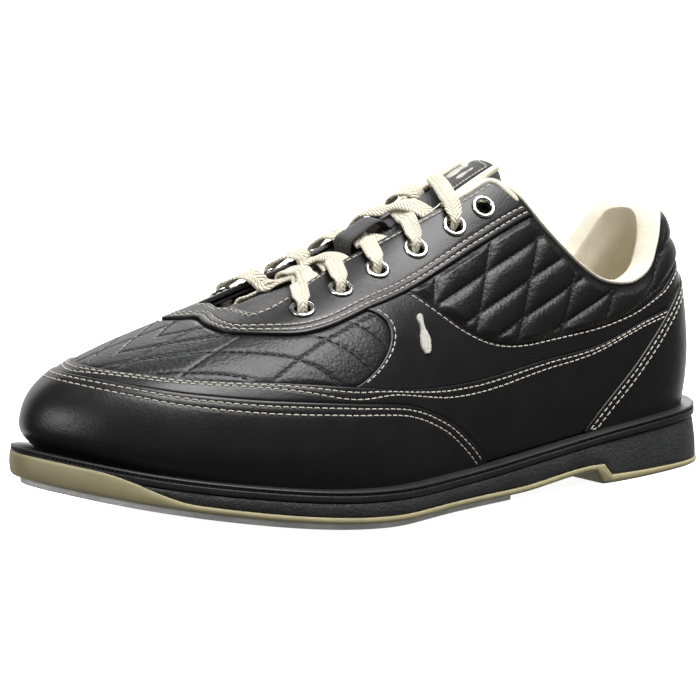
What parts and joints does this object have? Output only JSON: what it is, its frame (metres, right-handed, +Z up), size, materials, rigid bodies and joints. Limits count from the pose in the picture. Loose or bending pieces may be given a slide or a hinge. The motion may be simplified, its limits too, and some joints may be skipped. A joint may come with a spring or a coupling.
{
  "type": "bowling shoe",
  "caption": "Left lace-up bowling shoe: quilted black leather upper with stitched overlays, padded cream collar, felt slide pad and low rubber heel",
  "frame": {"origin": "bottom centre of the bounding box, on the floor under the middle of the sole", "axes": "+X from heel to toe, +Y to the outer (lateral) side of the foot, +Z up"},
  "size_m": [0.3034, 0.1076, 0.1241],
  "materials": {
    "black_leather": "smooth satin black leather",
    "quilted_leather": "black leather, padded and quilted",
    "cream_textile": "brushed cream textile",
    "lace_textile": "flat woven cream lace",
    "black_rubber": "fine textured black rubber",
    "khaki_rubber": "khaki crepe rubber",
    "grey_felt": "grey felted microfibre",
    "silver_metal": "bright silver plate",
    "black_mesh": "black spacer mesh and webbing",
    "foam": "open cell upholstery foam",
    "board": "pressed fibre board",
    "shank_steel": "pressed spring steel",
    "thermoplastic": "moulded thermoplastic sheet",
    "white_thread": "embroidery thread"
  },
  "bodies": {
    "shoe": {"aglet_a": "silver_metal", "aglet_b": "silver_metal", "collar_foam": "foam", "collar_lining": "cream_textile", "collar_quarter_lateral": "quilted_leather", "collar_quarter_medial": "quilted_leather", "emblem_lateral": "white_thread", "emblem_medial": "white_thread", "eyelet_lateral_1": "silver_metal", "eyelet_lateral_2": "silver_metal", "eyelet_lateral_3": "silver_metal", "eyelet_lateral_4": "silver_metal", "eyelet_lateral_5": "silver_metal", "eyelet_lateral_6": "silver_metal", "eyelet_medial_1": "silver_metal", "eyelet_medial_2": "silver_metal", "eyelet_medial_3": "silver_metal", "eyelet_medial_4": "silver_metal", "eyelet_medial_5": "silver_metal", "eyelet_medial_6": "silver_metal", "eyestay": "black_leather", "eyestay_facing": "black_leather", "footbed": "cream_textile", "forefoot_filler": "foam", "foxing_band": "black_leather", "heel_counter_cover": "black_leather", "heel_stiffener": "thermoplastic", "insole_board": "board", "lace": "lace_textile", "midsole": "black_rubber", "mudguard": "black_leather", "outsole": "khaki_rubber", "saddle_lateral": "black_leather", "saddle_medial": "black_leather", "shank": "shank_steel", "slide_pad": "grey_felt", "toe_puff": "thermoplastic", "vamp": "quilted_leather", "vamp_lining": "cream_textile", "welt": "black_rubber"},
    "tongue": {"tongue_shell": "black_mesh", "tongue_padding": "foam", "tongue_lining": "cream_textile", "tongue_label": "black_mesh", "lace_keeper": "black_mesh"}
  },
  "joints": [
    {"name": "tongue_flex", "type": "hinge", "parent": "shoe", "child": "tongue", "pos_m": [0.08745, -0.00852, 0.066], "axis": [0, -1, 0], "range_deg": [0, 1], "stiffness_Nm_per_rad": 6, "springref_deg": -0.57}
  ]
}
